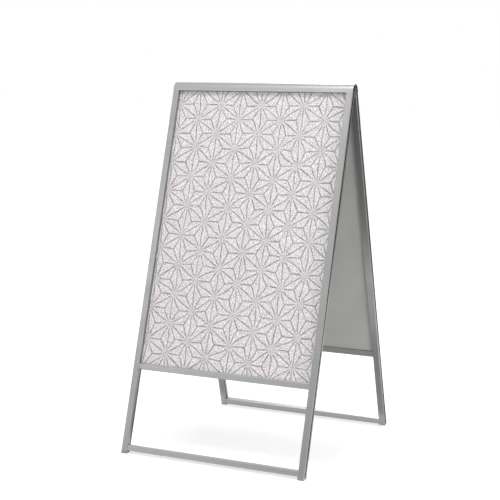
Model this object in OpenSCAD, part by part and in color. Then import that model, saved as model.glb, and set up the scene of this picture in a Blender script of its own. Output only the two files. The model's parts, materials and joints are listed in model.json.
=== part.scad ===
// Folding aluminium a-frame sign: two framed leaves that hang from one full-width hinge.
// The origin lies on the floor, midway between the four feet. X is the width, Z is up.
// A leaf is drawn hanging straight down: the hinge axis is at the origin, the outer face
// is at -pivot_in along Y, and the leaf is then swung open by half the opening angle.

/* [Leaves] */
// Width over the two stiles
frame_w = 632; // [400:1:1000]
// Length along the slope, from the floor to the hinge axis
leaf_len = 1200; // [900:5:1600]
// Height of the window that shows the sheet
window_h = 900; // [300:5:1100]
// Angle between the two leaves when they stand open
open_angle = 33; // [20:0.5:40]
// Space left between the two leaves when they are folded flat
folded_gap = 2; // [2:0.5:8]

/* [Stiles] */
// Width of a stile's face
stile_face = 21; // [20:1:30]
// Depth of a stile, from the outer face to the inner face
stile_depth = 20; // [19.5:0.5:24]
// Wall of every extrusion
wall = 1.5; // [1.2:0.1:2]
// Radius of the stile's outer front edge
stile_round = 3; // [2.5:0.5:4]
// Radius of the other edges of the extrusions
edge_round = 0.8; // [0.4:0.1:1.2]
// Width of the groove along the stile's side, which takes the screws' heads
groove_w = 6.6; // [6.4:0.1:7]
// Depth of that groove
groove_deep = 2.2; // [1.6:0.1:2.6]

/* [Crossbars] */
// Height of a crossbar
bar_h = 20; // [18:1:30]
// How far a crossbar lies behind the stile's face
bar_set_back = 1; // [0.5:0.25:1.5]
// Radius of a crossbar's front edges
bar_round = 4; // [1:0.5:4]
// Height of the lower crossbar above the floor, along the slope
lower_bar_up = 10; // [10:1:60]

/* [Board] */
// Thickness of the board
board_t = 3; // [2:0.25:4]
// Thickness of the printed sheet on the board
sheet_t = 0.3; // [0.2:0.05:0.5]
// How far the board reaches behind the frame on every side
board_lap = 5; // [3:0.5:6]
// Distance from the outer face to the board channel
channel_in = 12; // [11.5:0.1:12.3]
// Margin between the sheet's edge and the board's edge
sheet_margin = 1; // [0.5:0.25:2]

/* [Hinge] */
// Height of the hinge rail's top edge above the hinge axis
rail_rise = 22.7; // [18:0.1:26]
// Distance from the hinge axis down to the underside of the rail
rail_drop = 10; // [9:0.5:14]
// Height above the hinge axis where the rail's face starts to curve
curve_start = 0; // [-4:0.5:4]
// Radius of the bead that the hinge turns on
bead_r = 3.5; // [3:0.1:4]
// Wall of the socket round the bead
socket_wall = 2; // [1.6:0.1:2.4]
// Thickness of the neck that carries the bead
neck_t = 2.4; // [1.6:0.1:2.8]
// Thickness of the slanting web inside a rail
web_t = 1.2; // [0.8:0.1:2]

/* [Feet] */
// Length of the foot cap below the stile, at the outer face
foot_h = 9; // [8:0.5:20]
// Radius round the sole
sole_round = 2; // [1:0.25:3]
// Length of the stem inside the stile
stem_len = 25; // [10:1:60]

/* [Fasteners] */
// Radius of a screw's shank
screw_r = 1.75; // [1.5:0.05:1.8]
// Radius of a crossbar screw's head
head_r = 3; // [2.5:0.1:3]
// Height of a crossbar screw's head
head_h = 1.4; // [1:0.1:2]
// Height of a corner screw's head
low_head_h = 0.8; // [0.6:0.1:0.9]
// Length of the crossbar screw inside the crossbar
screw_bite = 18; // [8:1:40]
// Distance from the middle of a crossbar to each of its two screws
screw_apart = 6.2; // [5:0.1:6.5]
// Thickness of a corner plate
plate_t = 3; // [2:0.1:3.4]
// Length of a corner plate inside the stile
plate_leg = 45; // [35:1:80]
// Length of a corner plate inside the rail
plate_arm = 34; // [20:1:60]
// Distance from the stile's top to the first corner screw
plate_screw_down = 14; // [8:1:20]
// Distance between the two corner screws
plate_screw_pitch = 18; // [10:1:24]

/* [Hidden] */

// Colours as they show in the photo
metal_color = "#a9aaa7";
plate_color = "#c4c5c3";
board_color = "#8f8f8e";
sheet_color = "#e6e3e8";
foot_color = "#8c8d8b";
screw_color = "#6f706e";

// Clearances
// All round a part that slides into a hollow
slide_fit = 0.15;
// Between a screw and its thread or port
thread_fit = 0.05;
// Between a screw and a drilled wall
hole_fit = 0.3;
// In front of the sheet and behind the board
board_fit = 0.05;
// Beside and above the board
board_room = 2;
// Between the bead and its socket
bead_fit = 0.06;
// Between the socket and the trough that it turns in
trough_fit = 0.35;
// Between the two rails where they stop the opening
stop_fit = 0.2;
// Extra angle of the socket's mouth on each side of the neck
mouth_fit = 6;
// Overrun of a cut past the surface that it opens
over = 1;
// Width and depth of the cross recess in a screw's head
recess_w = 0.8;
recess_deep = 0.5;
// Wall round a screw port
port_wall = 0.95;
// Points in the rounded corners of a foot
corner_steps = 8;
$fn = 64;

half_angle = open_angle / 2;
pivot_in = stile_depth + folded_gap / 2;
pivot_z = leaf_len * cos(half_angle) - pivot_in * sin(half_angle);

// Window and board
window_w = frame_w - 2 * stile_face;
window_top = -rail_drop;
window_bottom = window_top - window_h;
board_w = window_w + 2 * board_lap;
board_h = window_h + 2 * board_lap;
channel_w = sheet_t + board_t + 2 * board_fit;
channel_back = channel_in + channel_w;
side_channel_deep = board_lap + board_room;
rail_channel_deep = board_lap + board_room / 2;

// Stile hollow, measured from the stile's outer side
hollow_x = stile_face - side_channel_deep - 2 * wall;
hollow_round = stile_round - wall;
stile_bottom = -leaf_len + foot_h;
stile_len = window_top - stile_bottom;

// Where what slides into the hollow starts, clear of its corner and of the metal behind the groove
inner_x = wall + max(hollow_round, groove_deep) + slide_fit;
inner_w = wall + hollow_x - slide_fit - inner_x;

// Crossbars
panel_bar_bottom = window_bottom - bar_h;
lower_bar_bottom = -leaf_len + lower_bar_up;
port_r = screw_r + thread_fit;
port_out_r = port_r + port_wall;
port_in = channel_in - wall / 2 - port_out_r;

// Hinge
socket_r = bead_r + bead_fit;
socket_out_r = bead_r + socket_wall;
trough_r = socket_out_r + trough_fit;
apex_y = -rail_rise * sin(half_angle);
apex_z = rail_rise * cos(half_angle);
apex_in = pivot_in + apex_y;
curve_rise = apex_z - curve_start;
curve_r = (apex_in * apex_in + curve_rise * curve_rise) / (2 * apex_in);
neck_angle = asin(neck_t / 2 / bead_r);

// Places the children, drawn hanging from the hinge axis, as the front or the rear leaf
module front_leaf() {
    translate([0, 0, pivot_z])
        rotate([-half_angle, 0, 0])
            children();
}

module rear_leaf() {
    translate([0, 0, pivot_z])
        rotate([half_angle, 0, 0])
            mirror([0, 1, 0])
                children();
}

// Draws the children on the left, or mirrored on the right
module on_side(side) {
    mirror([side == "right" ? 1 : 0, 0, 0])
        children();
}

// Extrudes a profile that is drawn in Y and Z along X
module along_x(x, len) {
    translate([x, 0, 0])
        rotate([90, 0, 90])
            linear_extrude(len)
                children();
}

// The waste outside a quarter round, for a corner at the origin
module corner_waste(r) {
    difference() {
        translate([-over, -over])
            square(r + over);
        translate([r, r])
            circle(r);
    }
}

// A rectangle from the origin whose corners near x = 0 have one radius, the others another
module soft_rect(w, h, near_r, far_r) {
    difference() {
        square([w, h]);
        corner_waste(near_r);
        translate([0, h])
            mirror([0, 1])
                corner_waste(near_r);
        translate([w, 0])
            mirror([1, 0])
                corner_waste(far_r);
        translate([w, h])
            rotate(180)
                corner_waste(far_r);
    }
}

// Stile

// Outline of a stile: x from its outer side, y from its outer face
module stile_outline() {
    difference() {
        square([stile_face, stile_depth]);
        corner_waste(stile_round);
        translate([0, stile_depth])
            mirror([0, 1])
                corner_waste(edge_round);
        translate([stile_face, 0])
            mirror([1, 0])
                corner_waste(edge_round);
        translate([stile_face, stile_depth])
            rotate(180)
                corner_waste(edge_round);
    }
}

// The hollow round the board channel, wide behind the outer side
module stile_hollow(front_pocket, back_pocket) {
    translate([wall, wall])
        difference() {
            square([hollow_x, stile_depth - 2 * wall]);
            corner_waste(hollow_round);
        }
    translate([wall + hollow_round, wall])
        square([stile_face - 2 * wall - hollow_round, front_pocket]);
    translate([wall, channel_back + wall])
        square([stile_face - 2 * wall, back_pocket]);
}

module stile_section() {
    front_pocket = channel_in - 2 * wall;
    back_pocket = stile_depth - channel_back - 2 * wall;
    difference() {
        stile_outline();
        difference() {
            stile_hollow(front_pocket, back_pocket);
            translate([0, port_in - groove_w / 2 - wall])
                square([groove_deep + wall, groove_w + 2 * wall]);
        }
        translate([stile_face - side_channel_deep, channel_in])
            square([side_channel_deep + over, channel_w]);
        translate([-over, port_in - groove_w / 2])
            square([groove_deep + over, groove_w]);
    }
}

// Holes for the two screws of a crossbar, through the whole stile
module bar_screw_holes(bar_bottom) {
    for (step = [-1, 1])
        translate([-over, port_in, bar_bottom + bar_h / 2 + step * screw_apart])
            rotate([0, 90, 0])
                cylinder(r = screw_r + hole_fit, h = stile_face + 2 * over);
}

// Places the children at the two corner screws, at the middle of the stile's hollow
module at_corner_screws() {
    for (step = [0, 1])
        translate([
            -frame_w / 2 + wall + hollow_x / 2,
            -pivot_in,
            window_top - plate_screw_down - step * plate_screw_pitch
        ])
            children();
}

module stile(side) {
    on_side(side)
        difference() {
            translate([-frame_w / 2, -pivot_in, 0])
                difference() {
                    translate([0, 0, stile_bottom])
                        linear_extrude(stile_len)
                            stile_section();
                    bar_screw_holes(panel_bar_bottom);
                    bar_screw_holes(lower_bar_bottom);
                }
            at_corner_screws()
                translate([0, stile_depth - wall - over, 0])
                    rotate([-90, 0, 0])
                        cylinder(r = screw_r + hole_fit, h = wall + 2 * over);
        }
}

// Crossbar

// Profile of a crossbar: x is the depth from the stile's outer face, y the height
module bar_section() {
    bar_depth = stile_depth - bar_set_back;
    channel_bottom = bar_h - board_lap;
    difference() {
        translate([bar_set_back, 0])
            soft_rect(bar_depth, bar_h, bar_round, edge_round);
        difference() {
            translate([bar_set_back + wall, wall])
                soft_rect(bar_depth - 2 * wall, bar_h - 2 * wall, bar_round - wall / 2, edge_round);
            translate([channel_in - wall, channel_bottom - wall])
                square([channel_w + 2 * wall, bar_h]);
            for (step = [-1, 1])
                translate([port_in, bar_h / 2 + step * screw_apart])
                    circle(port_out_r);
        }
        translate([channel_in, channel_bottom])
            square([channel_w, board_lap + over]);
        for (step = [-1, 1])
            translate([port_in, bar_h / 2 + step * screw_apart])
                circle(port_r);
    }
}

// The bar's channel faces up under the board, and down at the feet
module crossbar(bar_bottom, channel_down = false) {
    translate([0, -pivot_in, bar_bottom])
        along_x(-window_w / 2, window_w)
            translate([0, channel_down ? bar_h : 0])
                mirror([0, channel_down ? 1 : 0])
                    bar_section();
}

module bar_screw() {
    rotate([0, 90, 0])
        difference() {
            union() {
                cylinder(r = screw_r, h = stile_face - groove_deep + screw_bite);
                translate([0, 0, -head_h])
                    cylinder(r = head_r, h = head_h);
            }
            for (turn = [0, 90])
                rotate(turn)
                    translate([-screw_r, -recess_w / 2, -head_h - over])
                        cube([2 * screw_r, recess_w, recess_deep + over]);
        }
}

module bar_screws(bar_bottom) {
    for (side = ["left", "right"], step = [-1, 1])
        on_side(side)
            translate([
                -frame_w / 2 + groove_deep,
                port_in - pivot_in,
                bar_bottom + bar_h / 2 + step * screw_apart
            ])
                bar_screw();
}

// Hinge rail

// Half of the arch that the two rails make: x from the hinge axis outward is negative
module arch(skin, stop_back) {
    reach = curve_r - skin;
    intersection() {
        polygon([
            [-pivot_in + skin, -rail_drop + skin],
            [-folded_gap / 2 - skin, -rail_drop + skin],
            [-folded_gap / 2 - skin, -stop_back],
            [-stop_back * cos(half_angle), -stop_back * sin(half_angle)],
            [
                apex_y - stop_back * cos(half_angle) - over * sin(half_angle),
                apex_z - stop_back * sin(half_angle) + over * cos(half_angle)
            ],
            [-pivot_in + skin, apex_z + over]
        ]);
        union() {
            translate([curve_r - pivot_in, curve_start])
                circle(reach, $fn = 160);
            translate([-pivot_in + skin, -rail_drop])
                square([pivot_in, rail_drop + curve_start]);
        }
    }
}

// The board channel along the underside, and the metal round it
module rail_channel(skin) {
    translate([channel_in - pivot_in - skin, -rail_drop - over])
        square([channel_w + 2 * skin, rail_channel_deep + skin + over]);
}

// The slanting web between the curved face and the hinge
module rail_web() {
    intersection() {
        arch(wall / 2, stop_fit / 2);
        translate([-socket_r, socket_r])
            rotate(180 - half_angle)
                translate([0, -web_t / 2])
                    square([pivot_in, web_t]);
    }
}

// Skin, channel and web, the same on both leaves
module rail_body() {
    difference() {
        union() {
            difference() {
                arch(0, stop_fit / 2);
                arch(wall, wall);
            }
            intersection() {
                arch(0, stop_fit / 2);
                rail_channel(wall);
            }
            rail_web();
        }
        rail_channel(0);
    }
}

// Mouth of the socket, wide enough for the neck over the whole swing
module socket_mouth() {
    reach = 2 * socket_out_r;
    low = -neck_angle - mouth_fit;
    high = open_angle + neck_angle + mouth_fit;
    polygon([
        [0, 0],
        [reach * cos(low), reach * sin(low)],
        [reach, 0],
        [reach * cos(high / 2), reach * sin(high / 2)],
        [reach * cos(high), reach * sin(high)]
    ]);
}

module socket_rail_section() {
    difference() {
        union() {
            rail_body();
            circle(socket_out_r);
        }
        circle(socket_r);
        socket_mouth();
    }
}

module bead_rail_section() {
    difference() {
        union() {
            rail_body();
            intersection() {
                arch(0, stop_fit / 2);
                circle(trough_r + wall);
            }
        }
        circle(trough_r);
    }
    translate([-trough_r - wall / 2, -neck_t / 2])
        square([trough_r + wall / 2, neck_t]);
    circle(bead_r);
}

// Slots in the underside that let the corner plates up into the rail
module plate_slots() {
    for (side = ["left", "right"])
        on_side(side)
            translate([
                -frame_w / 2 + wall,
                wall - pivot_in,
                -rail_drop - over
            ])
                cube([hollow_x, plate_t + slide_fit, wall + 2 * over]);
}

module hinge_rail(with_socket) {
    difference() {
        along_x(-frame_w / 2, frame_w)
            if (with_socket)
                socket_rail_section();
            else
                bead_rail_section();
        plate_slots();
    }
}

// Corner plate, an angle that ties a stile to the rail
module corner_plate(side) {
    arm_bottom = -rail_drop + wall;
    on_side(side)
        difference() {
            translate([-frame_w / 2 + inner_x, wall - pivot_in, 0]) {
                translate([0, 0, window_top - plate_leg])
                    cube([inner_w, plate_t, plate_leg + wall]);
                translate([0, 0, arm_bottom])
                    cube([plate_arm, plate_t, curve_start - arm_bottom - slide_fit]);
            }
            at_corner_screws()
                rotate([-90, 0, 0])
                    cylinder(r = port_r, h = stile_depth);
        }
}

module corner_screws() {
    tip = wall + slide_fit;
    for (side = ["left", "right"])
        on_side(side)
            at_corner_screws()
                rotate([-90, 0, 0])
                    difference() {
                        union() {
                            translate([0, 0, tip])
                                cylinder(r = screw_r, h = stile_depth - tip);
                            translate([0, 0, stile_depth])
                                cylinder(r = head_r, h = low_head_h);
                        }
                        for (turn = [0, 90])
                            rotate(turn)
                                translate([
                                    -screw_r,
                                    -recess_w / 2,
                                    stile_depth + low_head_h - recess_deep
                                ])
                                    cube([2 * screw_r, recess_w, recess_deep + over]);
                    }
}

// Board and sheet
module board() {
    translate([
        -board_w / 2,
        channel_in + board_fit + sheet_t - pivot_in,
        window_bottom - board_lap
    ])
        cube([board_w, board_t, board_h]);
}

module sheet() {
    translate([
        -board_w / 2 + sheet_margin,
        channel_in + board_fit - pivot_in,
        window_bottom - board_lap + sheet_margin
    ])
        cube([board_w - 2 * sheet_margin, sheet_t, board_h - 2 * sheet_margin]);
}

// Foot

// Points of an arc from one angle to another
function arc_points(x, y, r, from, to) = [
    for (i = [0 : corner_steps])
        let (turn = from + (to - from) * i / corner_steps)
            [x + r * cos(turn), y + r * sin(turn)]
];

// Height of the floor under a point of the leaf, measured along the slope
function floor_at(in) = -leaf_len + in * tan(half_angle);

// Side view of the cap, with its sole flat on the floor when the leaf stands open
module cap_side_view() {
    up = sole_round / cos(half_angle);
    back = stile_depth - sole_round;
    polygon(concat(
        [[stile_depth, stile_bottom], [0, stile_bottom]],
        arc_points(sole_round, floor_at(sole_round) + up, sole_round, 180, 270 + half_angle),
        arc_points(back, floor_at(back) + up, sole_round, 270 + half_angle, 360)
    ));
}

// Front view of the cap above the floor, with rounded lower corners
module cap_front_view() {
    polygon(concat(
        [[stile_face, 2 * foot_h], [0, 2 * foot_h]],
        arc_points(sole_round, sole_round, sole_round, 180, 270),
        arc_points(stile_face - sole_round, sole_round, sole_round, 270, 360)
    ));
}

// Notch that lets the stem pass behind the lower crossbar's screws
module stem_notch() {
    reach = screw_apart + screw_r + hole_fit;
    translate([
        -frame_w / 2,
        port_in + screw_r + hole_fit - pivot_in - stile_depth,
        lower_bar_bottom + bar_h / 2 - reach
    ])
        cube([stile_face, stile_depth, 2 * reach]);
}

module foot(side) {
    on_side(side) {
        intersection() {
            translate([0, -pivot_in, 0])
                along_x(-frame_w / 2, stile_face)
                    cap_side_view();
            translate([-frame_w / 2, -pivot_in, -leaf_len - foot_h])
                linear_extrude(3 * foot_h)
                    stile_outline();
            rotate([half_angle, 0, 0])
                translate([-frame_w / 2, 0, -pivot_z])
                    rotate([90, 0, 0])
                        linear_extrude(leaf_len)
                            cap_front_view();
        }
        difference() {
            translate([
                -frame_w / 2 + inner_x,
                wall + slide_fit - pivot_in,
                stile_bottom - wall
            ])
                cube([
                    inner_w,
                    stile_depth - 2 * wall - 2 * slide_fit,
                    stem_len + wall
                ]);
            stem_notch();
        }
    }
}

// Front leaf
module front_hinge_rail() { color(metal_color) front_leaf() hinge_rail(true); }
module front_left_stile() { color(metal_color) front_leaf() stile("left"); }
module front_right_stile() { color(metal_color) front_leaf() stile("right"); }
module front_panel_bar() { color(metal_color) front_leaf() crossbar(panel_bar_bottom); }
module front_lower_bar() { color(metal_color) front_leaf() crossbar(lower_bar_bottom, channel_down = true); }
module front_board() { color(board_color) front_leaf() board(); }
module front_sheet() { color(sheet_color) front_leaf() sheet(); }
module front_left_foot() { color(foot_color) front_leaf() foot("left"); }
module front_right_foot() { color(foot_color) front_leaf() foot("right"); }
module front_left_corner_plate() { color(plate_color) front_leaf() corner_plate("left"); }
module front_right_corner_plate() { color(plate_color) front_leaf() corner_plate("right"); }
module front_panel_bar_screws() { color(screw_color) front_leaf() bar_screws(panel_bar_bottom); }
module front_lower_bar_screws() { color(screw_color) front_leaf() bar_screws(lower_bar_bottom); }
module front_corner_screws() { color(screw_color) front_leaf() corner_screws(); }

// Rear leaf
module rear_hinge_rail() { color(metal_color) rear_leaf() hinge_rail(false); }
module rear_left_stile() { color(metal_color) rear_leaf() stile("left"); }
module rear_right_stile() { color(metal_color) rear_leaf() stile("right"); }
module rear_panel_bar() { color(metal_color) rear_leaf() crossbar(panel_bar_bottom); }
module rear_lower_bar() { color(metal_color) rear_leaf() crossbar(lower_bar_bottom, channel_down = true); }
module rear_board() { color(board_color) rear_leaf() board(); }
module rear_sheet() { color(sheet_color) rear_leaf() sheet(); }
module rear_left_foot() { color(foot_color) rear_leaf() foot("left"); }
module rear_right_foot() { color(foot_color) rear_leaf() foot("right"); }
module rear_left_corner_plate() { color(plate_color) rear_leaf() corner_plate("left"); }
module rear_right_corner_plate() { color(plate_color) rear_leaf() corner_plate("right"); }
module rear_panel_bar_screws() { color(screw_color) rear_leaf() bar_screws(panel_bar_bottom); }
module rear_lower_bar_screws() { color(screw_color) rear_leaf() bar_screws(lower_bar_bottom); }
module rear_corner_screws() { color(screw_color) rear_leaf() corner_screws(); }

front_hinge_rail();
front_left_stile();
front_right_stile();
front_panel_bar();
front_lower_bar();
front_board();
front_sheet();
front_left_foot();
front_right_foot();
front_left_corner_plate();
front_right_corner_plate();
front_panel_bar_screws();
front_lower_bar_screws();
front_corner_screws();
rear_hinge_rail();
rear_left_stile();
rear_right_stile();
rear_panel_bar();
rear_lower_bar();
rear_board();
rear_sheet();
rear_left_foot();
rear_right_foot();
rear_left_corner_plate();
rear_right_corner_plate();
rear_panel_bar_screws();
rear_lower_bar_screws();
rear_corner_screws();
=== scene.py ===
import json
import math

import bpy
from mathutils import Matrix, Vector


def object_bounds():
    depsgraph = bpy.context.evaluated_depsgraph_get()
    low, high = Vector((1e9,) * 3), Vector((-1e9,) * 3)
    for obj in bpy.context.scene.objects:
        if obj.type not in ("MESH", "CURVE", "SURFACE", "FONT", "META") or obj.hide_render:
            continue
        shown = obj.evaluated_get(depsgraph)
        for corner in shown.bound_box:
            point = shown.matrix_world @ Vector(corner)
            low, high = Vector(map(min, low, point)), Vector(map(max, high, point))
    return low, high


print("stage: load the packed frame")
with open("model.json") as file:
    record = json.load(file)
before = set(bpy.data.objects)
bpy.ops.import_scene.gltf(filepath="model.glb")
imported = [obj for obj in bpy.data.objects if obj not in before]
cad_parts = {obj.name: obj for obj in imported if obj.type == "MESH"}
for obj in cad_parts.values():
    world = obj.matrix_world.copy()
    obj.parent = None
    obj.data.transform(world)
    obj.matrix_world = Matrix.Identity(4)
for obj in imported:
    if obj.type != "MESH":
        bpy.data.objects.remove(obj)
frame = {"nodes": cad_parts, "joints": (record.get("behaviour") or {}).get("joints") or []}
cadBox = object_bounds()
mmPerMetre = 1000.0

# The hinge line, and how far each leaf leans from it when the sign stands open
hinge = frame["joints"][0]
hingeHeight = hinge["pos_m"][2]
halfAngle = math.radians(hinge["range_deg"][1] / 2)
leafTilt = {"front": halfAngle, "rear": -halfAngle}


def toLinear(hexColour):
    # sRGB hex to the linear values that the shader sockets take
    parts = [int(hexColour[i:i + 2], 16) / 255 for i in (1, 3, 5)]
    return [p / 12.92 if p <= 0.04045 else ((p + 0.055) / 1.055) ** 2.4 for p in parts] + [1]


def addNode(tree, kind, settings=None, sockets=None):
    # One node with its settings; a socket takes a value or another node's output
    node = tree.nodes.new(kind)
    for name, value in (settings or {}).items():
        setattr(node, name, value)
    for name, value in (sockets or {}).items():
        if isinstance(value, bpy.types.NodeSocket):
            tree.links.new(value, node.inputs[name])
        else:
            node.inputs[name].default_value = value
    return node


def newMaterial(name):
    material = bpy.data.materials.new(name)
    material.use_nodes = True
    tree = material.node_tree
    tree.nodes.clear()
    shader = addNode(tree, "ShaderNodeBsdfPrincipled")
    addNode(tree, "ShaderNodeOutputMaterial", None, {"Surface": shader.outputs[0]})
    return material, tree, shader


def drive(tree, shader, colour, gloss, bump):
    # The three outputs that every finish varies over its surface
    tree.links.new(colour, shader.inputs["Base Color"])
    tree.links.new(gloss, shader.inputs["Roughness"])
    tree.links.new(bump, shader.inputs["Normal"])


def leafCoordinates(tree, tilt):
    # Millimetres in the leaf's own frame: X across, Y through its depth, Z along the slope
    place = addNode(tree, "ShaderNodeTexCoord")
    moved = addNode(tree, "ShaderNodeVectorMath", {"operation": "SUBTRACT"},
                    {0: place.outputs["Object"], 1: (0, 0, hingeHeight)})
    turned = addNode(tree, "ShaderNodeVectorRotate", {"rotation_type": "X_AXIS"},
                     {"Vector": moved.outputs[0], "Angle": tilt})
    return addNode(tree, "ShaderNodeVectorMath", {"operation": "SCALE"},
                   {0: turned.outputs[0], "Scale": mmPerMetre}).outputs[0]


# Anodised aluminium, extruded: a satin grey metal, with straight faint die lines along its
# length and slow cloudy changes of gloss from the anodising bath. The crosswise extrusions
# take a lighter copy of the same grey, painted light that makes them look brighter
anodised = {
    "slope": {"colour": "#A5A6A4", "streakColour": "#999A98"},
    # Painted light: the crosswise bars' copy of the grey is lighter, so that they look brighter
    "across": {"colour": "#ACADAB", "streakColour": "#A1A2A0"},
    "roughness": 0.36,
    "roughnessSpread": 0.07,
    "lineWidth": 0.5,       # mm; real die lines are near 0.1 mm, drawn coarser so that they show
    "lineLength": 260,      # mm
    "lineHeight": 0.00002,  # m
    "lineStrength": 0.35,
    "lineShare": 0.6,       # of the change in tone; the clouds make the rest
    "cloudSize": 70,        # mm
    "toneRange": (0.35, 0.65),
    "paintedShadeColour": "#626360",   # painted shade that darkens the side groove
    "paintedShadeRange": (0.3, 0.6),
    "leastPaintedShade": 0.75,
    "grooveDepth": 2.2,     # mm
    "grooveWidth": 6.6,     # mm
    "grooveMiddle": 12.5,   # mm from the plane between the leaves
    "floorReach": 1.9,      # mm beside the groove's floor that is darkened too, short of the edge
    "sideReach": 0.1,       # mm past the groove's sides, so that they are in
}


def makeAnodised(name, tilt, along):
    material, tree, shader = newMaterial(name)
    place = leafCoordinates(tree, tilt)
    low, high = anodised["toneRange"]
    thin, long = 1 / anodised["lineWidth"], 1 / anodised["lineLength"]
    stretched = addNode(tree, "ShaderNodeVectorMath", {"operation": "MULTIPLY"}, {
        0: place, 1: (thin, thin, long) if along == "slope" else (long, thin, thin)})
    lines = addNode(tree, "ShaderNodeTexNoise", None, {
        "Vector": stretched.outputs[0], "Scale": 1.0, "Detail": 3.0, "Roughness": 0.6})
    clouds = addNode(tree, "ShaderNodeTexNoise", None, {
        "Vector": place, "Scale": 1 / anodised["cloudSize"], "Detail": 3.0})
    cloudPart = addNode(tree, "ShaderNodeMath", {"operation": "MULTIPLY"}, {
        0: clouds.outputs[0], 1: 1 - anodised["lineShare"]})
    both = addNode(tree, "ShaderNodeMath", {"operation": "MULTIPLY_ADD"}, {
        0: lines.outputs[0], 1: anodised["lineShare"], 2: cloudPart.outputs[0]})
    tone = addNode(tree, "ShaderNodeMapRange", None, {
        "Value": both.outputs[0], "From Min": low, "From Max": high})
    colour = addNode(tree, "ShaderNodeMix", {"data_type": "RGBA"}, {
        0: tone.outputs[0], 6: toLinear(anodised[along]["streakColour"]),
        7: toLinear(anodised[along]["colour"])})
    if along == "slope":
        # Painted shade: the stiles' side groove is darkened, unevenly by the clouds
        paintedShade = addPaintedShade(tree, place, clouds.outputs[0])
        colour = addNode(tree, "ShaderNodeMix", {"data_type": "RGBA"}, {
            0: paintedShade, 6: colour.outputs[2], 7: toLinear(anodised["paintedShadeColour"])})
    gloss = addNode(tree, "ShaderNodeMapRange", None, {
        "Value": both.outputs[0], "From Min": low, "From Max": high,
        "To Min": anodised["roughness"] + anodised["roughnessSpread"],
        "To Max": anodised["roughness"] - anodised["roughnessSpread"]})
    bump = addNode(tree, "ShaderNodeBump", None, {
        "Height": lines.outputs[0], "Strength": anodised["lineStrength"],
        "Distance": anodised["lineHeight"]})
    drive(tree, shader, colour.outputs[2], gloss.outputs[0], bump.outputs[0])
    shader.inputs["Metallic"].default_value = 1.0
    return material


def addPaintedShade(tree, place, clouds):
    # 1 where painted shade darkens the side groove, on either side of the sign and in either leaf
    grooveFloor = cadBox[1][0] * mmPerMetre - anodised["grooveDepth"]
    low, high = anodised["paintedShadeRange"]
    apart = addNode(tree, "ShaderNodeVectorMath", {"operation": "ABSOLUTE"}, {0: place})
    parts = addNode(tree, "ShaderNodeSeparateXYZ", None, {0: apart.outputs[0]})
    inDepth = addNode(tree, "ShaderNodeMath", {"operation": "COMPARE"}, {
        0: parts.outputs[0], 1: grooveFloor, 2: anodised["floorReach"]})
    inWidth = addNode(tree, "ShaderNodeMath", {"operation": "COMPARE"}, {
        0: parts.outputs[1], 1: anodised["grooveMiddle"],
        2: anodised["grooveWidth"] / 2 + anodised["sideReach"]})
    inGroove = addNode(tree, "ShaderNodeMath", {"operation": "MULTIPLY"}, {
        0: inDepth.outputs[0], 1: inWidth.outputs[0]})
    # How strong the painted shade is, a little uneven by the clouds
    shadeAmount = addNode(tree, "ShaderNodeMapRange", None, {
        "Value": clouds, "From Min": low, "From Max": high,
        "To Min": anodised["leastPaintedShade"], "To Max": 1.0})
    return addNode(tree, "ShaderNodeMath", {"operation": "MULTIPLY"}, {
        0: inGroove.outputs[0], 1: shadeAmount.outputs[0]}).outputs[0]


# Aluminium composite board, coil coated: an even, half-matt grey paint with a very fine
# orange-peel and faint handling marks
coated = {
    "colour": "#ADAEAB",
    "markColour": "#B4B5B2",
    "markSize": 120,        # mm
    "markRange": (0.4, 0.7),
    "roughness": (0.43, 0.55),  # clean, and where it was handled
    "peelSize": 2.5,        # mm; real peel is near 1 mm, drawn coarser so that it shows
    "peelHeight": 0.00004,  # m
    "peelStrength": 0.15,
}


def makeCoated(name, tilt):
    material, tree, shader = newMaterial(name)
    place = leafCoordinates(tree, tilt)
    low, high = coated["markRange"]
    clean, handled = coated["roughness"]
    marks = addNode(tree, "ShaderNodeTexNoise", None, {
        "Vector": place, "Scale": 1 / coated["markSize"], "Detail": 5.0, "Distortion": 0.6})
    peel = addNode(tree, "ShaderNodeTexNoise", None, {
        "Vector": place, "Scale": 1 / coated["peelSize"], "Detail": 2.0})
    tone = addNode(tree, "ShaderNodeMapRange", None, {
        "Value": marks.outputs[0], "From Min": low, "From Max": high})
    colour = addNode(tree, "ShaderNodeMix", {"data_type": "RGBA"}, {
        0: tone.outputs[0], 6: toLinear(coated["colour"]), 7: toLinear(coated["markColour"])})
    gloss = addNode(tree, "ShaderNodeMapRange", None, {
        "Value": marks.outputs[0], "From Min": 0.3, "From Max": 0.7,
        "To Min": clean, "To Max": handled})
    bump = addNode(tree, "ShaderNodeBump", None, {
        "Height": peel.outputs[0], "Strength": coated["peelStrength"],
        "Distance": coated["peelHeight"]})
    drive(tree, shader, colour.outputs[2], gloss.outputs[0], bump.outputs[0])
    return material


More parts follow.
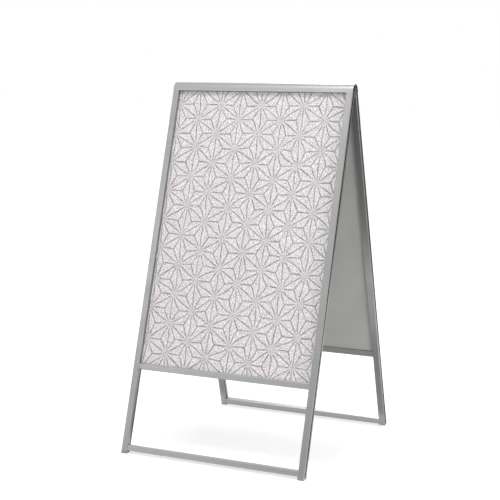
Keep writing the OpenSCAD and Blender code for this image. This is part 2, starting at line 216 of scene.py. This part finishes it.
# Printed film, matt laminate: a pale paper-like ground, mottled like pressed fibres, under
# thin mauve-grey hemp-leaf lines that break off round each star's soft grey middle
printed = {
    "groundColour": "#F8F3F6",
    "fleckColour": "#9C999C",
    "lineColour": "#807A7D",
    "discColour": "#D6D5DA",
    "starAcross": 147.3,    # mm between stars in a row
    "starAlong": 96.7,      # mm between stars in a column
    "originAcross": -214.5,  # mm from the middle
    "originAlong": -100.0,  # mm below the hinge
    "rays": 12,             # lines that leave each star
    "lineWidth": 3.0,       # mm
    "fullInkShare": 0.3,    # of half a line's width, where its ink is still full
    "noInkShare": 1.9,      # and where it has faded out
    "wobble": 1.6,          # mm that a line's edge wanders
    "wobbleSize": 6,        # mm
    "inkSize": 14,          # mm; patches in which the ink thins
    "inkRange": (0.3, 0.65),
    "thinInk": 0.55,
    "discSize": 11,         # mm
    "discInk": 0.8,
    "discShares": (0.6, 1.3),   # of its size, where a middle starts and ends to fade
    "rayShares": (0.7, 1.5),    # and where the rays start and reach full ink
    "drift": 22,            # mm; the stars stray a few millimetres, as in a hand-drawn pattern
    "driftSize": 90,        # mm
    "fleckSize": 3.2,       # mm; coarser than real fibres, so that the mottle shows
    "fleckRange": (0.56, 0.38),
    "fleckHeight": 0.00005,  # m
    "fleckStrength": 0.1,
    "roughness": 0.62,
    "roughnessSpread": 0.06,
    "specular": 0.3,
}


def makePrinted(name, tilt):
    material, tree, shader = newMaterial(name)
    place = leafCoordinates(tree, tilt)
    toStar, radius = addStars(tree, place)
    line = addRays(tree, place, toStar, radius)
    discStart, discEnd = (share * printed["discSize"] for share in printed["discShares"])
    disc = addNode(tree, "ShaderNodeMapRange", {"interpolation_type": "SMOOTHSTEP"}, {
        "Value": radius, "From Min": discStart, "From Max": discEnd,
        "To Min": printed["discInk"], "To Max": 0.0})
    fleck = addNode(tree, "ShaderNodeTexNoise", None, {
        "Vector": place, "Scale": 1 / printed["fleckSize"], "Detail": 4.0, "Roughness": 0.7})
    low, high = printed["fleckRange"]
    mottle = addNode(tree, "ShaderNodeMapRange", None, {
        "Value": fleck.outputs[0], "From Min": low, "From Max": high})
    middle = addNode(tree, "ShaderNodeMix", {"data_type": "RGBA"}, {
        0: disc.outputs[0], 6: toLinear(printed["groundColour"]),
        7: toLinear(printed["discColour"])})
    ground = addNode(tree, "ShaderNodeMix", {"data_type": "RGBA"}, {
        0: mottle.outputs[0], 6: middle.outputs[2], 7: toLinear(printed["fleckColour"])})
    inked = addNode(tree, "ShaderNodeMix", {"data_type": "RGBA"}, {
        0: line, 6: ground.outputs[2], 7: toLinear(printed["lineColour"])})
    bump = addNode(tree, "ShaderNodeBump", None, {
        "Height": fleck.outputs[0], "Strength": printed["fleckStrength"],
        "Distance": printed["fleckHeight"]})
    gloss = addNode(tree, "ShaderNodeMapRange", None, {
        "Value": fleck.outputs[0], "To Min": printed["roughness"] - printed["roughnessSpread"],
        "To Max": printed["roughness"] + printed["roughnessSpread"]})
    drive(tree, shader, inked.outputs[2], gloss.outputs[0], bump.outputs[0])
    shader.inputs["Specular IOR Level"].default_value = printed["specular"]
    return material


def addStars(tree, place):
    # The offset to the nearest star and its length, after the stars have strayed a little
    across, along = printed["starAcross"], printed["starAlong"]
    drift = addNode(tree, "ShaderNodeTexNoise", None, {
        "Vector": place, "Scale": 1 / printed["driftSize"], "Detail": 1.0})
    centred = addNode(tree, "ShaderNodeVectorMath", {"operation": "SUBTRACT"}, {
        0: drift.outputs["Color"], 1: (0.5, 0.5, 0.5)})
    drawn = addNode(tree, "ShaderNodeVectorMath", {"operation": "MULTIPLY_ADD"}, {
        0: centred.outputs[0], 1: (printed["drift"], 0, printed["drift"]), 2: place})
    cells = addNode(tree, "ShaderNodeVectorMath", {"operation": "MULTIPLY_ADD"}, {
        0: drawn.outputs[0], 1: (1 / across, 0, 1 / along),
        2: (-printed["originAcross"] / across, 0, -printed["originAlong"] / along)})
    shifted = addNode(tree, "ShaderNodeVectorMath", {"operation": "ADD"}, {
        0: cells.outputs[0], 1: (0.5, 0, 0.5)})
    # The stars lie on two interleaved grids, each wrapped to one cell and made even-sided
    offsets = []
    for grid in (cells, shifted):
        wrapped = addNode(tree, "ShaderNodeVectorMath", {"operation": "WRAP"}, {
            0: grid.outputs[0], 1: (0.5, 0.5, 0.5), 2: (-0.5, -0.5, -0.5)})
        offsets.append(addNode(tree, "ShaderNodeVectorMath", {"operation": "MULTIPLY"}, {
            0: wrapped.outputs[0], 1: (across, 0, across / math.sqrt(3))}))
    lengths = [addNode(tree, "ShaderNodeVectorMath", {"operation": "LENGTH"},
                       {0: offset.outputs[0]}).outputs["Value"] for offset in offsets]
    nearer = addNode(tree, "ShaderNodeMath", {"operation": "LESS_THAN"}, {
        0: lengths[1], 1: lengths[0]})
    toStar = addNode(tree, "ShaderNodeMix", {"data_type": "VECTOR"}, {
        0: nearer.outputs[0], 4: offsets[0].outputs[0], 5: offsets[1].outputs[0]})
    radius = addNode(tree, "ShaderNodeMath", {"operation": "MINIMUM"}, {
        0: lengths[0], 1: lengths[1]})
    return toStar.outputs[1], radius.outputs[0]


def addRays(tree, place, toStar, radius):
    # The ink of the rays round each star, by the distance to the nearest of them
    parts = addNode(tree, "ShaderNodeSeparateXYZ", None, {0: toStar})
    angle = addNode(tree, "ShaderNodeMath", {"operation": "ARCTAN2"}, {
        0: parts.outputs[2], 1: parts.outputs[0]})
    halfStep = math.pi / printed["rays"]
    ray = addNode(tree, "ShaderNodeMath", {"operation": "WRAP"}, {
        0: angle.outputs[0], 1: halfStep, 2: -halfStep})
    side = addNode(tree, "ShaderNodeMath", {"operation": "SINE"}, {0: ray.outputs[0]})
    signed = addNode(tree, "ShaderNodeMath", {"operation": "MULTIPLY"}, {
        0: side.outputs[0], 1: radius})
    away = addNode(tree, "ShaderNodeMath", {"operation": "ABSOLUTE"}, {0: signed.outputs[0]})
    wobble = addNode(tree, "ShaderNodeTexNoise", None, {
        "Vector": place, "Scale": 1 / printed["wobbleSize"], "Detail": 2.0})
    wandering = addNode(tree, "ShaderNodeMath", {"operation": "MULTIPLY_ADD"}, {
        0: wobble.outputs[0], 1: printed["wobble"], 2: away.outputs[0]})
    middle = printed["wobble"] / 2
    half = printed["lineWidth"] / 2
    line = addNode(tree, "ShaderNodeMapRange", {"interpolation_type": "SMOOTHSTEP"}, {
        "Value": wandering.outputs[0], "From Min": middle + half * printed["fullInkShare"],
        "From Max": middle + half * printed["noInkShare"], "To Min": 1.0, "To Max": 0.0})
    rayStart, rayFull = (share * printed["discSize"] for share in printed["rayShares"])
    start = addNode(tree, "ShaderNodeMapRange", {"interpolation_type": "SMOOTHSTEP"}, {
        "Value": radius, "From Min": rayStart, "From Max": rayFull})
    ink = addNode(tree, "ShaderNodeTexNoise", None, {
        "Vector": place, "Scale": 1 / printed["inkSize"], "Detail": 3.0})
    low, high = printed["inkRange"]
    inkTone = addNode(tree, "ShaderNodeMapRange", None, {
        "Value": ink.outputs[0], "From Min": low, "From Max": high,
        "To Min": printed["thinInk"], "To Max": 1.0})
    for part in (start, inkTone):
        line = addNode(tree, "ShaderNodeMath", {"operation": "MULTIPLY"}, {
            0: line.outputs[0], 1: part.outputs[0]})
    return line.outputs[0]


# Polyethylene, moulded: soft-edged matt grey, with a fine spark-eroded grain and scuffs
moulded = {
    "colour": "#8E8F8C",
    "scuffColour": "#A3A4A1",
    "scuffSize": 6,         # mm
    "scuffRange": (0.52, 0.72),
    "roughness": (0.47, 0.67),  # worn smooth, and scuffed
    "grainSize": 0.8,       # mm; real grain is near 0.2 mm, drawn coarser so that it shows
    "grainHeight": 0.00006,  # m
    "grainStrength": 0.3,
}


def makeMoulded(name):
    material, tree, shader = newMaterial(name)
    place = leafCoordinates(tree, 0.0)
    low, high = moulded["scuffRange"]
    smooth, scuffed = moulded["roughness"]
    grain = addNode(tree, "ShaderNodeTexNoise", None, {
        "Vector": place, "Scale": 1 / moulded["grainSize"], "Detail": 2.0})
    scuffs = addNode(tree, "ShaderNodeTexNoise", None, {
        "Vector": place, "Scale": 1 / moulded["scuffSize"], "Detail": 6.0, "Roughness": 0.65})
    tone = addNode(tree, "ShaderNodeMapRange", None, {
        "Value": scuffs.outputs[0], "From Min": low, "From Max": high})
    colour = addNode(tree, "ShaderNodeMix", {"data_type": "RGBA"}, {
        0: tone.outputs[0], 6: toLinear(moulded["colour"]), 7: toLinear(moulded["scuffColour"])})
    gloss = addNode(tree, "ShaderNodeMapRange", None, {
        "Value": scuffs.outputs[0], "To Min": smooth, "To Max": scuffed})
    bump = addNode(tree, "ShaderNodeBump", None, {
        "Height": grain.outputs[0], "Strength": moulded["grainStrength"],
        "Distance": moulded["grainHeight"]})
    drive(tree, shader, colour.outputs[2], gloss.outputs[0], bump.outputs[0])
    return material


# Bare metals: dull zinc-plated steel screws, headed and rolled, and mill-finish aluminium
# plates, sawn and punched. Both are spotted, the plating finely and the plates coarsely
bare = {
    "zincPlatedSteel": {"colour": "#6E6F6D", "spotColour": "#818280", "spotSize": 0.7,  # mm
                        "roughness": 0.42},
    "millAluminium": {"colour": "#BDBEBC", "spotColour": "#ACADAB", "spotSize": 3.0,
                      "roughness": 0.4},
    "roughnessSpread": 0.1,
    "spotRange": (0.4, 0.65),
    "spotHeight": 0.00003,  # m
    "spotStrength": 0.2,
}


def makeBare(name):
    kind = bare[name]
    material, tree, shader = newMaterial(name)
    place = leafCoordinates(tree, 0.0)
    low, high = bare["spotRange"]
    spots = addNode(tree, "ShaderNodeTexNoise", None, {
        "Vector": place, "Scale": 1 / kind["spotSize"], "Detail": 4.0, "Roughness": 0.7})
    tone = addNode(tree, "ShaderNodeMapRange", None, {
        "Value": spots.outputs[0], "From Min": low, "From Max": high})
    colour = addNode(tree, "ShaderNodeMix", {"data_type": "RGBA"}, {
        0: tone.outputs[0], 6: toLinear(kind["colour"]), 7: toLinear(kind["spotColour"])})
    gloss = addNode(tree, "ShaderNodeMapRange", None, {
        "Value": spots.outputs[0], "To Min": kind["roughness"] - bare["roughnessSpread"],
        "To Max": kind["roughness"] + bare["roughnessSpread"]})
    bump = addNode(tree, "ShaderNodeBump", None, {
        "Height": spots.outputs[0], "Strength": bare["spotStrength"],
        "Distance": bare["spotHeight"]})
    drive(tree, shader, colour.outputs[2], gloss.outputs[0], bump.outputs[0])
    shader.inputs["Metallic"].default_value = 1.0
    return material


print("stage: materials")
finishes = {}
for leaf, tilt in leafTilt.items():
    stileFinish = makeAnodised("anodisedAluminiumStile." + leaf, tilt, "slope")
    barFinish = makeAnodised("anodisedAluminiumBar." + leaf, tilt, "across")
    pieces = {
        "hinge_rail": barFinish, "panel_bar": barFinish, "lower_bar": barFinish,
        "left_stile": stileFinish, "right_stile": stileFinish,
        "board": makeCoated("coatedCompositeBoard." + leaf, tilt),
        "sheet": makePrinted("printedFilm." + leaf, tilt)}
    finishes.update({leaf + "_" + piece: finish for piece, finish in pieces.items()})
smallFinishes = {
    "foot": makeMoulded("mouldedPolyethylene"),
    "screws": makeBare("zincPlatedSteel"),
    "plate": makeBare("millAluminium"),
}
for name, node in frame["nodes"].items():
    finish = finishes.get(name) or smallFinishes[name.split("_")[-1]]
    node.data.materials.clear()
    node.data.materials.append(finish)


def addObject(name, data):
    made = bpy.data.objects.new(name, data)
    bpy.context.scene.collection.objects.link(made)
    return made


def addCard(name, size, finish, upright=False):
    # A flat rectangle round its own origin, which is staging and not part of the sign
    across, along = (side / 2 for side in size)
    corners = [(-across, -along), (across, -along), (across, along), (-across, along)]
    mesh = bpy.data.meshes.new(name)
    mesh.from_pydata([(x, 0, y) if upright else (x, y, 0) for x, y in corners], [], [(0, 1, 2, 3)])
    mesh.materials.append(finish)
    card = addObject(name, mesh)
    return card


def seenDirectly(tree):
    # 1 for what the camera, a gloss or glass sees, and 0 for what only lights the sign
    rays = addNode(tree, "ShaderNodeLightPath")
    seen = rays.outputs["Is Camera Ray"]
    for kind in ("Is Glossy Ray", "Is Transmission Ray"):
        seen = addNode(tree, "ShaderNodeMath", {"operation": "MAXIMUM"}, {
            0: seen, 1: rays.outputs[kind]}).outputs[0]
    return seen


print("stage: floor, lamps and world")
studio = {
    "floorColour": "#C8C8C8",
    "floorSize": 60.0,      # m
    "nearGlow": 0.56,       # what the floor shows of the white background beside the sign
    "farGlow": 0.78,        # and away from the lamps
    "nearReach": 0.8,       # m
    "farReach": 4.5,        # m
    "worldStrength": 0.65,
    "backgroundStrength": 1.0,
}

# Matt floor paint, which takes the sign's shadow and shows the white background
floorFinish = bpy.data.materials.new("paleFloorPaint")
floorFinish.use_nodes = True
floorTree = floorFinish.node_tree
floorTree.nodes.clear()
paint = addNode(floorTree, "ShaderNodeBsdfDiffuse", None, {"Color": toLinear(studio["floorColour"])})
floorPlace = addNode(floorTree, "ShaderNodeTexCoord")
distance = addNode(floorTree, "ShaderNodeVectorMath", {"operation": "LENGTH"}, {
    0: floorPlace.outputs["Object"]})
rise = addNode(floorTree, "ShaderNodeMapRange", {"interpolation_type": "SMOOTHSTEP"}, {
    "Value": distance.outputs["Value"], "From Min": studio["nearReach"],
    "From Max": studio["farReach"], "To Min": studio["nearGlow"], "To Max": studio["farGlow"]})
lift = addNode(floorTree, "ShaderNodeMath", {"operation": "MULTIPLY"}, {
    0: seenDirectly(floorTree), 1: rise.outputs[0]})
glow = addNode(floorTree, "ShaderNodeEmission", None, {"Strength": lift.outputs[0]})
both = addNode(floorTree, "ShaderNodeAddShader", None, {0: paint.outputs[0], 1: glow.outputs[0]})
addNode(floorTree, "ShaderNodeOutputMaterial", None, {"Surface": both.outputs[0]})
addCard("studioFloor", (studio["floorSize"], studio["floorSize"]), floorFinish)

world = bpy.data.worlds.new("studioWorld")
bpy.context.scene.world = world
world.use_nodes = True
worldTree = world.node_tree
worldTree.nodes.clear()
strength = addNode(worldTree, "ShaderNodeMapRange", None, {
    "Value": seenDirectly(worldTree), "To Min": studio["worldStrength"],
    "To Max": studio["backgroundStrength"]})
sky = addNode(worldTree, "ShaderNodeBackground", None, {
    "Color": (1, 1, 1, 1), "Strength": strength.outputs[0]})
addNode(worldTree, "ShaderNodeOutputWorld", None, {"Surface": sky.outputs[0]})

# Softboxes: place, the point they face, side lengths and watts
lamps = {
    "topSoftbox": {"place": (-0.1, -1.8, 4.7), "faces": (0, 0, 0.8), "size": (1.1, 1.6), "watts": 80},
    "leftSoftbox": {"place": (-2.8, -3.4, 2.1), "faces": (0, 0, 0.5), "size": (1.4, 1.2), "watts": 6},
    "frontSoftbox": {"place": (-0.9, -3.4, 3.5), "faces": (0, 0, 0.8), "size": (1.2, 0.7), "watts": 5},
    "rearSoftbox": {"place": (-0.5, 3.4, 4.0), "faces": (0, 0, 0.8), "size": (2.4, 2.0), "watts": 90},
    "sideSoftbox": {"place": (3.2, -0.5, 0.5), "faces": (0, 0, 0.9), "size": (1.8, 0.9), "watts": 103},
}
for name, lamp in lamps.items():
    light = bpy.data.lights.new(name, "AREA")
    light.shape = "RECTANGLE"
    light.size, light.size_y = lamp["size"]
    light.energy = lamp["watts"]
    softbox = addObject(name, light)
    softbox.visible_glossy = name != "sideSoftbox"  # the side one only fills, without a gleam
    aim = Vector(lamp["faces"]) - Vector(lamp["place"])
    turn = aim.to_track_quat("-Z", "Y").to_matrix().to_4x4()
    softbox.matrix_world = Matrix.Translation(lamp["place"]) @ turn

# Flags of grey cloth that only the metal's gloss meets: one behind on the right darkens the
# side faces and one in front the foot of the right stile. The two that lie on the floor are
# painted shadow: grey sheets, seen only in the gloss, where the sign shades the floor
flags = {
    "sideFlag": {"place": (1.7, 3.3, 0.7), "size": (2.0, 1.8), "colour": "#5A5A5A", "upright": True},
    "frontFlag": {"place": (-0.8, -4.4, 0.75), "size": (1.3, 1.5), "colour": "#6E6E6E", "upright": True},
    # Painted shadow on the floor, seen only in the metal's gloss
    "innerFloorPaintedShadow": {"place": (0.2, 0.07, 0.001), "size": (1.5, 0.44), "colour": "#DADADA"},
    "outerFloorPaintedShadow": {"place": (0.2, 0.68, 0.001), "size": (1.5, 0.64), "colour": "#E4E4E4"},
}
flagCloth = {"weaveScale": 60.0, "darkShare": 0.85, "roughness": 1.0}
for name, flag in flags.items():
    clothFinish, tree, shader = newMaterial(name + "Cloth")
    weave = addNode(tree, "ShaderNodeTexNoise", None, {"Scale": flagCloth["weaveScale"]})
    pale = toLinear(flag["colour"])
    tone = addNode(tree, "ShaderNodeMix", {"data_type": "RGBA"}, {
        0: weave.outputs[0], 6: [part * flagCloth["darkShare"] for part in pale], 7: pale})
    tree.links.new(tone.outputs[2], shader.inputs["Base Color"])
    shader.inputs["Roughness"].default_value = flagCloth["roughness"]
    card = addCard(name, flag["size"], clothFinish, flag.get("upright", False))
    card.location = flag["place"]
    card.visible_camera = card.visible_diffuse = card.visible_shadow = False

print("stage: camera")
# Fitted to the edges of the frame in the photograph: metres, degrees and millimetres of lens
view = {
    "place": (1.773499, -3.746996, 1.175442),
    "yaw": 25.84623,
    "pitch": 7.51934,
    "roll": 0.52159,
    "lens": 92.5612,
    "sensor": 36,
    "farEnd": 100,
}
yaw, pitch, roll = (math.radians(view[turn]) for turn in ("yaw", "pitch", "roll"))
ahead = Vector((-math.sin(yaw) * math.cos(pitch), math.cos(yaw) * math.cos(pitch), -math.sin(pitch)))
level = Vector((math.cos(yaw), math.sin(yaw), 0))
above = level.cross(ahead)
right = level * math.cos(roll) + above * math.sin(roll)
up = above * math.cos(roll) - level * math.sin(roll)
lens = bpy.data.cameras.new("photoCamera")
lens.lens = view["lens"]
lens.sensor_width = view["sensor"]
lens.clip_end = view["farEnd"]
camera = addObject("photoCamera", lens)
turn = Matrix((right, up, -ahead)).transposed().to_4x4()
camera.matrix_world = Matrix.Translation(view["place"]) @ turn
bpy.context.scene.camera = camera
bpy.context.scene.view_settings.view_transform = "Standard"

print("stage: finish")
